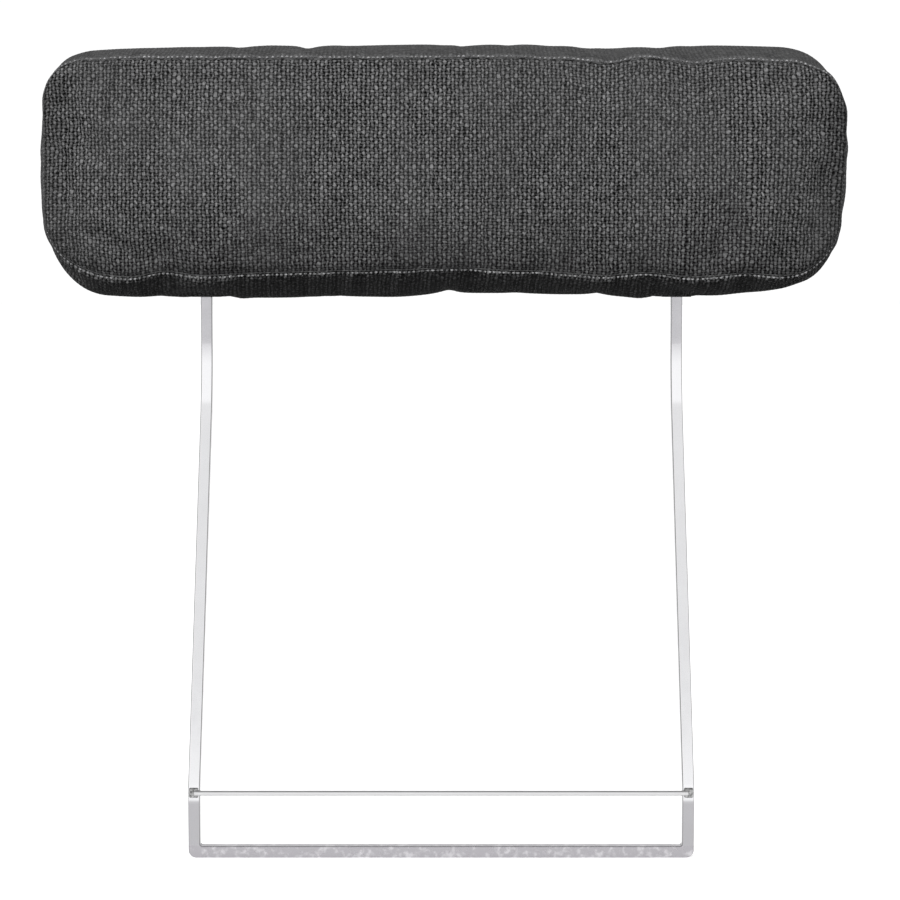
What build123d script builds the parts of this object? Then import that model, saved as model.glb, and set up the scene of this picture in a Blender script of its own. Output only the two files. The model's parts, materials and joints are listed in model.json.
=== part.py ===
from build123d import *
import os

# Lounge headrest: a boxed cushion on a bracket bent from square steel bar. Millimetres.
# +X runs along the cushion, the sitter's head comes from -Y, and +Z is up.
# The origin is the middle of the bottom bar's underside.

# ---- driving dimensions: bracket -----------------------------------------------------
BAR = 8.0                    # side of the square bar
BAR_EDGE = 0.9               # rounding of the bar's long edges
LEG_SPACING = 340.0          # centre to centre of the two legs
CORNER_OUTSIDE = 5.5         # the loop's two bottom corners
CORNER_INSIDE = 1.7
LOWER_BEND_Z = 48.0          # where the legs start to lean back
LOWER_BEND_R = 9.0
UPPER_BEND_Z = 323.0         # where they turn upright again
UPPER_BEND_R = 160.0
LEG_OFFSET = 102.0           # how far the upper part of the legs stands behind the lower loop
LEG_TOP = 502.0
LEG_TOP_CHAMFER = 0.7
JOIN_Z = 30.0                # where the loop's outline hands over to the legs' sweeps
ROD_D = 3.5
ROD_Z = 45.6
ROD_END_ROUND = 1.2
TOUCH_GAP = 0.02             # gap that keeps two faces from overlapping
WELD_R = 1.7
WELD_REACH = 3.2             # half the length of the beads above and below the rod
WELD_END_ROUND = 1.0
WELD_SINK = 0.42             # how far a bead's middle lies in front of the leg
WELD_BLOB_R = 2.5            # the rounder bead where the rod ends
WELD_BLOB_OUT = 0.9          # how far outside the leg's middle it sits

# ---- driving dimensions: cushion -----------------------------------------------------
CUSHION_W = 576.0            # across the middle of the boxing
CUSHION_H = 178.0
CUSHION_CORNER = 56.0
CUSHION_BOTTOM = 386.4
SEAM_DEPTH = 66.0            # from the middle of the cushion to its front or back seam
SEAM_INSET = 14.0            # how much narrower the panels are than the middle
SEAM_CORNER = 42.0
SHOULDER_DEPTH = 44.0        # where the boxing curves in
SHOULDER_INSET = 5.1
BELLY_DEPTH = 16.0           # half the depth over which the boxing is straight
CROWN = 8.0                  # how far the front and back panels stand out past their seams
CROWN_W = 470.0
CROWN_H = 80.0
CROWN_CORNER = 20.0
SEAM_SHARE = 0.8             # of an inset, what the seams' depth gives up
SMALLEST_CORNER = 6.0        # of any inner layer's outline
COVER_T = 1.6
WADDING_T = 8.0
FOAM_ROUNDING = 14.0         # how much rounder the foam's corners are cut than the cover's
STITCH_T = 0.6
STITCH_W = 0.9
STITCH_FROM_SEAM = 2.6

# ---- driving dimensions: core --------------------------------------------------------
BOARD_W = 480.0
BOARD_H = 130.0
BOARD_T = 12.0
BOARD_BOTTOM = 404.0
BOARD_CORNER = 12.0
SLEEVE_OUTER = 13.0
SLEEVE_PLAY = 0.3            # between the leg and the sleeve, on each side
SLEEVE_CAP = 2.5
SLEEVE_CORNER = 1.0
SLEEVE_ROOM = 2.0            # in the foam above a sleeve
FLANGE_W = 22.0
FLANGE_T = 2.5
FLANGE_CORNER = 3.0
FLANGE_PLAY = 1.0            # between the flange and the wadding round it
SADDLE_T = 1.5
SADDLE_H = 12.0
SADDLE_HEIGHTS = (425.0, 485.0)
SADDLE_HALF_W = 16.0
SCREW_OUT = 12.0             # from the leg's middle to a saddle screw
SCREW_D = 3.0
SCREW_L = 9.0
SCREW_HEAD_D = 6.0
SCREW_HEAD_T = 2.2
SCREW_HEAD_ROUND = 1.2
SCREW_SLOT_W = 0.8
SCREW_SLOT_DEPTH = 1.0
CHANNEL_HALF_W = 17.5        # room in the front foam for a sleeve and its saddles
CHANNEL_DEPTH = 10.0
LEG_SLIT = 10.4              # square opening in the cover round a leg
BINDING_W = 20.0
BINDING_T = 1.0
BINDING_CORNER = 3.0

# ---- driving dimensions: zip ---------------------------------------------------------
ZIP_Z = 453.0
ZIP_HALF_L = 200.0           # half of the opening in the back panel
ZIP_GAP = 9.6                # height of that opening
TAPE_W = 13.0
TAPE_T = 0.6
TAPE_OVER = 5.0              # how far the tapes run past the opening
ROW_GAP = 1.4                # between the two rows of teeth
ROW_W = 2.3
ROW_T = 1.8
ROW_HALF_L = 196.0
STOP_L = 2.4
STOP_OVER = 0.4              # how far an end stop reaches past the teeth
SLIDER_L = 11.0
SLIDER_W = 8.6
SLIDER_CORNER = 2.4
PLATE_T = 1.2
SLIDER_PLAY = 0.35
SLIDER_X = 184.0             # the slider's place when the zip is closed
NECK_T = 0.6
NECK_L = 3.0
NECK_BACK = 1.0              # from the slider's end to the neck
FLANGE_LIFT = 0.5            # the slider's side flanges stay that far off the tape
BRIDGE_L = 7.0
BRIDGE_W = 1.6
BRIDGE_T = 1.1
BRIDGE_ROOM = 2.0
PIN_D = 1.0
PULL_L = 24.0
PULL_W = 6.0
PULL_T = 1.2
PULL_CORNER = 2.2
PULL_ARM = 5.0
ARM_OVERLAP = 1.0            # how far the arms run into the tab
ARM_PLAY = 0.5               # between an arm and the bridge
PULL_HOLE_R = 1.3
PULL_HOLE_FROM_END = 4.5
TROUGH_DEPTH = 4.5           # hollow in the rear wadding behind the zip
TROUGH_H = 34.0
TROUGH_ENDS = 2.0            # how far it runs past the tapes

# ---- worked out ----------------------------------------------------------------------
LEG_X = (-LEG_SPACING / 2, LEG_SPACING / 2)
LEG_Y = LEG_OFFSET
CUSHION_Z = CUSHION_BOTTOM + CUSHION_H / 2
FRONT_SEAM_Y = LEG_Y - SEAM_DEPTH
BACK_SEAM_Y = LEG_Y + SEAM_DEPTH
BACK_Y = BACK_SEAM_Y + CROWN
SEAM_W = CUSHION_W - 2 * SEAM_INSET
SEAM_H = CUSHION_H - 2 * SEAM_INSET
BORE = BAR + 2 * SLEEVE_PLAY
BOARD_FRONT = LEG_Y + SLEEVE_OUTER / 2
SLEEVE_BOTTOM = CUSHION_BOTTOM + COVER_T + 0.2
SLEEVE_TOP = LEG_TOP + SLEEVE_PLAY + SLEEVE_CAP
FAR = 1000.0                 # larger than the whole part
PAST = 1.0                   # how far a cutter runs past what it cuts


def block(x, y, z):
    """A box given by its (low, high) along each axis."""
    size = [b - a for a, b in (x, y, z)]
    middle = [(a + b) / 2 for a, b in (x, y, z)]
    return Pos(*middle) * Box(*size)


def about(middle, half):
    """The (low, high) of a span with that middle and half length."""
    return (middle - half, middle + half)


def upright(y, width, height, corner):
    """A rounded rectangle facing the sitter, at depth y, centred on the cushion."""
    plane = Plane(origin=(0, y, CUSHION_Z), x_dir=(1, 0, 0), z_dir=(0, -1, 0))
    return plane * RectangleRounded(width, height, corner)


# ---- bracket -------------------------------------------------------------------------
def loop():
    """The bottom bar with its two corners, up to where the legs take over."""
    facing = Plane(origin=(0, BAR / 2, 0), x_dir=(1, 0, 0), z_dir=(0, -1, 0))
    outside = LEG_SPACING + BAR
    inside = LEG_SPACING - BAR
    outer = Pos(0, JOIN_Z / 2) * Rectangle(outside, JOIN_Z)
    outer = fillet(outer.vertices().group_by(Axis.Y)[0], CORNER_OUTSIDE)
    inner = Pos(0, BAR + JOIN_Z / 2) * Rectangle(inside, JOIN_Z)
    inner = fillet(inner.vertices().group_by(Axis.Y)[0], CORNER_INSIDE)
    bar = extrude(facing * (outer - inner), BAR)

    def is_long_edge(edge):
        on_a_face = abs(abs(edge.center().Y) - BAR / 2) < 1e-4
        return on_a_face and edge.center().Z < JOIN_Z - 1e-4

    return fillet(bar.edges().filter_by(is_long_edge), BAR_EDGE)


def leg(x):
    """One leg, swept from the loop through its two bends to the top."""
    path = FilletPolyline(
        (x, 0, JOIN_Z),
        (x, 0, LOWER_BEND_Z),
        (x, LEG_Y, UPPER_BEND_Z),
        (x, LEG_Y, LEG_TOP),
        radius=(LOWER_BEND_R, UPPER_BEND_R),
    )
    section = Pos(x, 0, JOIN_Z) * RectangleRounded(BAR, BAR, BAR_EDGE)
    bar = sweep(section, path=path)
    top = bar.faces().sort_by(Axis.Z)[-1]
    return chamfer(top.edges(), LEG_TOP_CHAMFER)


def bracket_frame():
    return loop() + leg(LEG_X[0]) + leg(LEG_X[1])


def rod_y():
    return -(BAR + ROD_D) / 2 - TOUCH_GAP


def cross_rod():
    rod = Rot(0, 90, 0) * Cylinder(ROD_D / 2, LEG_SPACING)
    return Pos(0, rod_y(), ROD_Z) * fillet(rod.edges().filter_by(GeomType.CIRCLE), ROD_END_ROUND)


def rod_weld(x, bare_metal):
    """Beads above, below and round the end of the rod on one leg, cut back to the metal."""
    y = -BAR / 2 - WELD_SINK
    bead = Rot(0, 90, 0) * Cylinder(WELD_R, 2 * WELD_REACH)
    bead = fillet(bead.edges().filter_by(GeomType.CIRCLE), WELD_END_ROUND)
    weld = Pos(x, y, ROD_Z + ROD_D / 2) * bead + Pos(x, y, ROD_Z - ROD_D / 2) * bead
    outward = 1 if x > 0 else -1
    weld += Pos(x + outward * WELD_BLOB_OUT, y, ROD_Z) * Sphere(WELD_BLOB_R)
    return (weld - bare_metal).solids().sort_by(SortBy.VOLUME)[-1]


# ---- cushion -------------------------------------------------------------------------
def cushion(inset, rounding=0.0):
    """The cushion's outer shape, pulled in by inset on every side, with rounder corners if wanted."""
    half = [
        (CROWN + SEAM_DEPTH - inset, CROWN_W, CROWN_H, CROWN_CORNER),
        (SEAM_DEPTH - SEAM_SHARE * inset, SEAM_W, SEAM_H, SEAM_CORNER),
        (SHOULDER_DEPTH, CUSHION_W - 2 * SHOULDER_INSET, CUSHION_H - 2 * SHOULDER_INSET, CUSHION_CORNER),
        (BELLY_DEPTH, CUSHION_W, CUSHION_H, CUSHION_CORNER),
    ]
    front = [(-depth, w, h, r) for depth, w, h, r in half]
    back = [(depth, w, h, r) for depth, w, h, r in reversed(half)]
    outlines = [
        upright(LEG_Y + y, w - 2 * inset, h - 2 * inset, max(r - inset + rounding, SMALLEST_CORNER))
        for y, w, h, r in front + back
    ]
    return loft(outlines, ruled=True)


def slab(low, high):
    """All the room between two depths."""
    return block((-FAR, FAR), (low, high), (-FAR, FAR))


def leg_hole(x, width):
    """A square column round a leg, for cutting through what lies under the sleeves."""
    return block(about(x, width / 2), about(LEG_Y, width / 2), (CUSHION_BOTTOM - BINDING_W, CUSHION_Z))


def cover_shell():
    return cushion(0) - cushion(COVER_T)


def cover_front_panel(shell):
    return shell & slab(-FAR, FRONT_SEAM_Y)


def cover_boxing_band(shell):
    band = shell & slab(FRONT_SEAM_Y, BACK_SEAM_Y)
    for x in LEG_X:
        band -= leg_hole(x, LEG_SLIT)
    return band


def cover_back_half(shell, sign):
    """The back panel above (+1) or below (-1) the zip."""
    panel = shell & slab(BACK_SEAM_Y, FAR)
    edge = ZIP_Z + sign * FAR
    panel &= block((-FAR, FAR), (0, FAR), tuple(sorted((ZIP_Z, edge))))
    opening = block(about(0, ZIP_HALF_L), (0, FAR), about(ZIP_Z, ZIP_GAP / 2))
    return panel - opening


def topstitching(y):
    """A row of stitches in the boxing, as one closed line at depth y."""
    return (cushion(-STITCH_T) - cushion(0)) & slab(y - STITCH_W / 2, y + STITCH_W / 2)


def slit_binding(x):
    """The bound patch sewn round one leg slit on the cover's underside."""
    low = CUSHION_BOTTOM - BINDING_T
    outline = RectangleRounded(BINDING_W, BINDING_W, BINDING_CORNER)
    patch = Pos(x, LEG_Y, low) * extrude(outline, BINDING_T)
    return patch - leg_hole(x, LEG_SLIT)


def foam_outside():
    return cushion(COVER_T + WADDING_T, FOAM_ROUNDING)


def wadding():
    layer = cushion(COVER_T) - foam_outside()
    for x in LEG_X:
        layer -= leg_hole(x, FLANGE_W + 2 * FLANGE_PLAY)
    return layer - zip_trough()


def zip_trough():
    deep = BACK_Y - COVER_T - TROUGH_DEPTH
    along = about(0, ZIP_HALF_L + TAPE_OVER + TROUGH_ENDS)
    return block(along, (deep, FAR), about(ZIP_Z, TROUGH_H / 2))


def foam_core_front():
    foam = foam_outside() & slab(-FAR, BOARD_FRONT)
    for x in LEG_X:
        foam -= block(
            about(x, CHANNEL_HALF_W),
            (LEG_Y - CHANNEL_DEPTH, BOARD_FRONT),
            (0, SLEEVE_TOP + SLEEVE_ROOM),
        )
    return foam


def foam_core_rear(board):
    foam = foam_outside() & slab(BOARD_FRONT, FAR)
    return foam - board


# ---- core ----------------------------------------------------------------------------
def board_blank():
    middle = BOARD_BOTTOM + BOARD_H / 2
    facing = Plane(origin=(0, BOARD_FRONT + BOARD_T, middle), x_dir=(1, 0, 0), z_dir=(0, -1, 0))
    return extrude(facing * RectangleRounded(BOARD_W, BOARD_H, BOARD_CORNER), BOARD_T)


def screw_places():
    return [(x + side * SCREW_OUT, z) for x in LEG_X for side in (-1, 1) for z in SADDLE_HEIGHTS]


def lying(radius, y, z, x):
    """A cylinder along Y with its (low, high) in y."""
    middle = (y[0] + y[1]) / 2
    return Pos(x, middle, z) * Rot(90, 0, 0) * Cylinder(radius, y[1] - y[0])


def core_board():
    """Upright plywood board with a pilot hole for each saddle screw."""
    board = board_blank()
    for x, z in screw_places():
        board -= lying(SCREW_D / 2, (BOARD_FRONT, BOARD_FRONT + SCREW_L), z, x)
    return board


def guide_sleeve(x):
    """Square plastic sleeve, open below with a flange, and closed above as the leg's stop."""
    half = SLEEVE_OUTER / 2
    sleeve = block(about(x, half), about(LEG_Y, half), (SLEEVE_BOTTOM, SLEEVE_TOP))
    sleeve = fillet(sleeve.edges().filter_by(Axis.Z), SLEEVE_CORNER)
    flange = block(
        about(x, FLANGE_W / 2),
        about(LEG_Y, FLANGE_W / 2),
        (SLEEVE_BOTTOM, SLEEVE_BOTTOM + FLANGE_T),
    )
    bore = block(
        about(x, BORE / 2),
        about(LEG_Y, BORE / 2),
        (SLEEVE_BOTTOM - PAST, SLEEVE_TOP - SLEEVE_CAP),
    )
    return sleeve + fillet(flange.edges().filter_by(Axis.Z), FLANGE_CORNER) - bore


def sleeve_saddle(x, z):
    """Bent steel strap that holds a sleeve against the board."""
    inner = SLEEVE_OUTER / 2
    outer = inner + SADDLE_T
    height = about(z, SADDLE_H / 2)
    hoop = block(about(x, outer), (LEG_Y - outer, BOARD_FRONT), height)
    feet = block(about(x, SADDLE_HALF_W), (BOARD_FRONT - SADDLE_T, BOARD_FRONT), height)
    room = block(about(x, inner), (LEG_Y - inner, BOARD_FRONT), height)
    saddle = hoop + feet - room
    for side in (-1, 1):
        through = (BOARD_FRONT - SADDLE_T - PAST, BOARD_FRONT)
        saddle -= lying(SCREW_D / 2, through, z, x + side * SCREW_OUT)
    return saddle


def saddle_screw(x, z):
    """Dome-head wood screw through a saddle's foot into the board."""
    under_head = BOARD_FRONT - SADDLE_T
    shank = lying(SCREW_D / 2, (under_head, BOARD_FRONT + SCREW_L), z, x)
    crown = under_head - SCREW_HEAD_T
    head = lying(SCREW_HEAD_D / 2, (crown, under_head), z, x)
    rim = head.faces().sort_by(Axis.Y)[0].edges()
    slot = block(about(x, SCREW_HEAD_D), (crown, crown + SCREW_SLOT_DEPTH), about(z, SCREW_SLOT_W / 2))
    return shank + fillet(rim, SCREW_HEAD_ROUND) - slot


# ---- zip -----------------------------------------------------------------------------
TAPE_FACE = BACK_Y - COVER_T


def beside_zip(near, far, sign):
    """The (low, high) in Z of a strip that runs from near to far off the zip's middle."""
    return tuple(sorted((ZIP_Z + sign * near, ZIP_Z + sign * far)))


def zip_tape(sign):
    return block(
        about(0, ZIP_HALF_L + TAPE_OVER),
        (TAPE_FACE - TAPE_T, TAPE_FACE),
        beside_zip(ROW_GAP / 2, ROW_GAP / 2 + TAPE_W, sign),
    )


def zip_teeth(sign):
    """One row of teeth as a plain bar on its tape."""
    return block(
        about(0, ROW_HALF_L - STOP_L),
        (TAPE_FACE, TAPE_FACE + ROW_T),
        beside_zip(ROW_GAP / 2, ROW_GAP / 2 + ROW_W, sign),
    )


def zip_end_stop(side, sign):
    low, high = sorted((side * (ROW_HALF_L - STOP_L), side * ROW_HALF_L))
    return block(
        (low, high),
        (TAPE_FACE, TAPE_FACE + ROW_T),
        beside_zip(ROW_GAP / 2, ROW_GAP / 2 + ROW_W + STOP_OVER, sign),
    )


def plate_front():
    """The outside of the teeth, where the slider's outer plate starts."""
    return TAPE_FACE + ROW_T + SLIDER_PLAY


def pull_pin_y():
    """Height of the pull's pin over the slider, in the middle of the bridge's room."""
    return plate_front() + PLATE_T + BRIDGE_ROOM / 2


def zip_slider():
    """Two plates joined by a thin neck that runs between the rows, and a bridge for the pull."""
    outer_low = plate_front()
    outer_high = outer_low + PLATE_T
    inner_high = TAPE_FACE - TAPE_T - SLIDER_PLAY
    inner_low = inner_high - PLATE_T
    along = about(SLIDER_X, SLIDER_L / 2)
    outer = block(along, (outer_low, outer_high), about(ZIP_Z, SLIDER_W / 2))
    outer = fillet(outer.edges().filter_by(Axis.Y), SLIDER_CORNER)
    inner = block(along, (inner_low, inner_high), about(ZIP_Z, SLIDER_W / 2))
    inner = fillet(inner.edges().filter_by(Axis.Y), SLIDER_CORNER)
    neck_end = SLIDER_X + SLIDER_L / 2 - NECK_BACK
    neck = block((neck_end - NECK_L, neck_end), (inner_low, outer_high), about(ZIP_Z, NECK_T / 2))
    flange_in = ROW_GAP / 2 + ROW_W + SLIDER_PLAY
    flanges = [
        block(
            about(SLIDER_X, SLIDER_L / 2 - SLIDER_CORNER),
            (TAPE_FACE + FLANGE_LIFT, outer_high),
            beside_zip(flange_in, SLIDER_W / 2, sign),
        )
        for sign in (-1, 1)
    ]
    arch = block(
        about(SLIDER_X, BRIDGE_L / 2),
        (outer_high, outer_high + BRIDGE_ROOM + BRIDGE_T),
        about(ZIP_Z, BRIDGE_W / 2),
    )
    room = block(
        about(SLIDER_X, BRIDGE_L / 2 - BRIDGE_T),
        (outer_high, outer_high + BRIDGE_ROOM),
        about(ZIP_Z, BRIDGE_W / 2),
    )
    return outer + inner + neck + flanges + (arch - room)


def zip_pull():
    """Flat tab with two arms and a pin that turns under the slider's bridge."""
    y = pull_pin_y()
    thick = about(y, PULL_T / 2)
    pin = Pos(SLIDER_X, y, ZIP_Z) * Cylinder(PIN_D / 2, PULL_W)
    arms = [
        block(
            (SLIDER_X - PULL_ARM - ARM_OVERLAP, SLIDER_X + PIN_D / 2),
            about(y, PIN_D / 2),
            beside_zip(BRIDGE_W / 2 + ARM_PLAY, PULL_W / 2, sign),
        )
        for sign in (-1, 1)
    ]
    tab = block((SLIDER_X - PULL_L, SLIDER_X - PULL_ARM), thick, about(ZIP_Z, PULL_W / 2))
    tab = fillet(tab.edges().filter_by(Axis.Y).group_by(Axis.X)[0], PULL_CORNER)
    hole_x = SLIDER_X - PULL_L + PULL_HOLE_FROM_END
    hole = lying(PULL_HOLE_R, about(y, PULL_T), ZIP_Z, hole_x)
    return pin + arms + tab - hole


# ---- all nodes -----------------------------------------------------------------------
def parts():
    frame = bracket_frame()
    rod = cross_rod()
    shell = cover_shell()
    padding = wadding()
    board = core_board()
    return {
        "bracket_frame": frame,
        "cross_rod": rod,
        "rod_welds": [rod_weld(x, frame + rod) for x in LEG_X],
        "core_board": board,
        "guide_sleeve_left": guide_sleeve(LEG_X[0]),
        "guide_sleeve_right": guide_sleeve(LEG_X[1]),
        "sleeve_saddles": [sleeve_saddle(x, z) for x in LEG_X for z in SADDLE_HEIGHTS],
        "saddle_screws": [saddle_screw(x, z) for x, z in screw_places()],
        "foam_core_front": foam_core_front(),
        "foam_core_rear": foam_core_rear(board_blank()),
        "wadding_front": padding & slab(-FAR, LEG_Y),
        "wadding_rear": padding & slab(LEG_Y, FAR),
        "cover_front_panel": cover_front_panel(shell),
        "cover_boxing_band": cover_boxing_band(shell),
        "cover_back_upper": cover_back_half(shell, 1),
        "cover_back_lower": cover_back_half(shell, -1),
        "topstitching_front": topstitching(FRONT_SEAM_Y + STITCH_FROM_SEAM),
        "topstitching_back": topstitching(BACK_SEAM_Y - STITCH_FROM_SEAM),
        "slit_binding_left": slit_binding(LEG_X[0]),
        "slit_binding_right": slit_binding(LEG_X[1]),
        "zip_tape_upper": zip_tape(1),
        "zip_tape_lower": zip_tape(-1),
        "zip_teeth_upper": zip_teeth(1),
        "zip_teeth_lower": zip_teeth(-1),
        "zip_end_stops": [zip_end_stop(side, sign) for side in (-1, 1) for sign in (-1, 1)],
        "zip_slider": zip_slider(),
        "zip_pull": zip_pull(),
    }


os.makedirs("parts", exist_ok=True)
for name, shape in parts().items():
    if isinstance(shape, list):
        shape = Compound(children=[solid for piece in shape for solid in piece.solids()])
    export_step(shape, f"parts/{name}.step")
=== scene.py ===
import json
import math
from functools import cache

import bmesh
import bpy
import numpy as np
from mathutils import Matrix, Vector, noise
from mathutils.bvhtree import BVHTree
from mathutils.geometry import delaunay_2d_cdt


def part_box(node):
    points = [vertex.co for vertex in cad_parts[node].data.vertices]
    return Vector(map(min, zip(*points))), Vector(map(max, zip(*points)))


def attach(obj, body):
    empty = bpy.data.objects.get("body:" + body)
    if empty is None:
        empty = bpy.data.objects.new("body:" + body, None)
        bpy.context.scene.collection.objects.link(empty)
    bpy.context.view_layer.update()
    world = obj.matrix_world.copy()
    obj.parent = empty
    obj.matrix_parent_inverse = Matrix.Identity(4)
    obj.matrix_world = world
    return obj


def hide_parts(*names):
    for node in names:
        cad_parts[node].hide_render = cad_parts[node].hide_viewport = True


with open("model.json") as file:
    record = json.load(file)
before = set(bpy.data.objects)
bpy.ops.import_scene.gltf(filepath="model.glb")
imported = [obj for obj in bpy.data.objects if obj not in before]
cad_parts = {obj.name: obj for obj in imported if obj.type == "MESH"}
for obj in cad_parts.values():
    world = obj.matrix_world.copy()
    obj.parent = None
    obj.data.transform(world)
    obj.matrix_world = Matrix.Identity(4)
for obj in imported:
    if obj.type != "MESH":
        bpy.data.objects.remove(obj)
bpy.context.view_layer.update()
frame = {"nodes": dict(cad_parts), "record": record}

# Looks for a lounge headrest: a boxed woven cushion on a bracket of polished square bar.
# Metres. The sitter and the camera are on the -Y side, +Z is up.

MM = 0.001

# ---- sizes read from the frame --------------------------------------------------------
panel_low, panel_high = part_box("cover_front_panel")
band_low, band_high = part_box("cover_boxing_band")
tape_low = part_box("zip_tape_lower")[0]
tape_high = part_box("zip_tape_upper")[1]
teeth_low, teeth_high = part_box("zip_teeth_lower")
upper_teeth_low, upper_teeth_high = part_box("zip_teeth_upper")
binding_low, binding_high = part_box("slit_binding_right")
sleeve_low, sleeve_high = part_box("guide_sleeve_right")

FRONT_Y, BACK_Y = band_low.y, band_high.y
MID_Y = (FRONT_Y + BACK_Y) / 2
DEPTH = BACK_Y - FRONT_Y
CENTRE_Z = (band_low.z + band_high.z) / 2
END_REACH = 4.8 * MM         # the sewn panels reach that much further out at the ends than in CAD
END_TUCK = 2.6 * MM          # and the boxing's middle that much less far
SEAM_W, SEAM_H = panel_high.x + END_REACH, (panel_high.z - panel_low.z) / 2
MID_W, MID_H = band_high.x - END_TUCK, (band_high.z - band_low.z) / 2
LEG_X = (binding_low.x + binding_high.x) / 2
LEG_Y = (binding_low.y + binding_high.y) / 2
ZIP_Z = (tape_low.z + tape_high.z) / 2
ZIP_HALF = -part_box("zip_end_stops")[0].x
OPENING_HALF = ZIP_HALF + 4 * MM
OPENING_H = 9.6 * MM

# ---- driving sizes of the soft parts --------------------------------------------------
# the corners' radii at the seams and half-way between them: top right, then clockwise
SEAM_RADII = (40 * MM, 40 * MM, 43 * MM, 30 * MM)
MID_RADII = (48 * MM, 44 * MM, 43 * MM, 37 * MM)
BOXING_POWER = 2.5           # how quickly the boxing bulges away from its seams
END_POWER = 1.3              # the same at the two ends, where it runs straighter
CROWN = 7 * MM               # of the panels, before the cushion is blown up
CROWN_REACH = 62 * MM
COARSE = 6 * MM              # spacing of the mesh that is simulated
YARN_X = 2.9 * MM            # from one warp thread to the next
YARN_Z = 2.36 * MM           # from one weft thread to the next
YARN_BUMP = 0.22 * MM        # how far a crossing stands out of the cloth
VALLEY = 1.7 * MM            # depth of the seams
VALLEY_REACH = 3.2 * MM
THREAD_SPREAD = 0.12         # how unevenly the threads lie, in steps of the mesh
ALLOWANCE = 5 * MM           # turned in along every open edge
SEED = 7

TURNS = ((1, 1), (1, -1), (-1, -1), (-1, 1))     # which way the corners lie, clockwise from top right


def smooth(t):
    """Eases from 0 to 1."""
    t = np.clip(t, 0, 1)
    return t * t * (3 - 2 * t)


def hill(away, reach):
    """1 at a distance of 0, falling softly to 0 within about twice the reach."""
    return np.exp(-(away / reach) ** 2)


# ---- the cushion's plain shape --------------------------------------------------------
def outline(half_w, half_h, radii, side_counts, corner_count):
    """A rounded rectangle, clockwise from its top side's left end, and which way each point faces."""
    points, facings = [], []
    for k, (sx, sz) in enumerate(TURNS):
        bx, bz = TURNS[k - 1]
        turn = math.radians(90 - 90 * k)
        out = np.array((math.cos(turn), math.sin(turn)))
        r0, r1 = radii[k - 1], radii[k]
        c0 = np.array((bx * (half_w - r0), bz * (half_h - r0)))
        c1 = np.array((sx * (half_w - r1), sz * (half_h - r1)))
        share = np.arange(side_counts[k])[:, None] / side_counts[k]
        points.append((c0 + r0 * out) * (1 - share) + (c1 + r1 * out) * share)
        facings.append(np.repeat(out[None, :], side_counts[k], axis=0))
        angle = turn - math.pi / 2 * np.arange(corner_count) / corner_count
        round_facing = np.stack((np.cos(angle), np.sin(angle)), axis=1)
        points.append(c1 + r1 * round_facing)
        facings.append(round_facing)
    return np.concatenate(points), np.concatenate(facings)


def edge_distance(x, z, half_w, half_h, radii):
    """How far points lie outside a rounded rectangle (inside is negative), and the way out."""
    tr, br, bl, tl = radii
    r = np.where(x > 0, np.where(z > 0, tr, br), np.where(z > 0, tl, bl))
    qx, qz = np.abs(x) - half_w + r, np.abs(z) - half_h + r
    outside = np.hypot(np.maximum(qx, 0), np.maximum(qz, 0))
    distance = outside + np.minimum(np.maximum(qx, qz), 0) - r
    round_part = (qx > 0) & (qz > 0)
    safe = np.maximum(outside, 1e-9)
    out_x = np.where(round_part, qx / safe, np.where(qx > qz, 1.0, 0.0)) * np.sign(x)
    out_z = np.where(round_part, qz / safe, np.where(qx > qz, 0.0, 1.0)) * np.sign(z)
    return distance, out_x, out_z


def boxing_sizes(depth):
    """Half width, half height and radii of the outline at a depth between the two seams."""
    from_seam = min(depth, DEPTH - depth) / (DEPTH / 2)
    rise = 1 - (1 - from_seam) ** BOXING_POWER
    end_rise = 1 - (1 - from_seam) ** END_POWER
    radii = [s + (m - s) * rise for s, m in zip(SEAM_RADII, MID_RADII)]
    return SEAM_W + (MID_W - SEAM_W) * end_rise, SEAM_H + (MID_H - SEAM_H) * rise, radii


def crown(x, z):
    """How far a panel stands out past its seam."""
    distance, _, _ = edge_distance(x, z, SEAM_W, SEAM_H, SEAM_RADII)
    inside = np.clip(-distance / CROWN_REACH, 0, 1)
    return CROWN * (1 - (1 - inside) ** BOXING_POWER)


def panel_point(x, z, front):
    """Points of the front or back panel's plain shape, from their place across it."""
    stand = crown(x, z)
    y = FRONT_Y - stand if front else BACK_Y + stand
    return np.stack((x, y, z + CENTRE_Z), axis=1)


def boxing_ring(depth, side_counts, corner_count):
    """A ring of points round the boxing at a depth behind the front seam."""
    half_w, half_h, radii = boxing_sizes(depth)
    points, facings = outline(half_w, half_h, radii, side_counts, corner_count)
    y = np.full(len(points), FRONT_Y + depth)
    return np.stack((points[:, 0], y, points[:, 1] + CENTRE_Z), axis=1), facings


def ring_counts(spacing):
    """Even numbers of steps along the four sides and the corners of the seam's outline."""
    def steps(length):
        return max(2, 2 * round(length / spacing / 2))

    tr, br, bl, tl = SEAM_RADII
    sides = (
        steps(2 * SEAM_W - tl - tr),
        steps(2 * SEAM_H - tr - br),
        steps(2 * SEAM_W - br - bl),
        steps(2 * SEAM_H - bl - tl),
    )
    corner = steps(math.pi / 2 * sum(SEAM_RADII) / 4)
    return sides, corner


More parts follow.
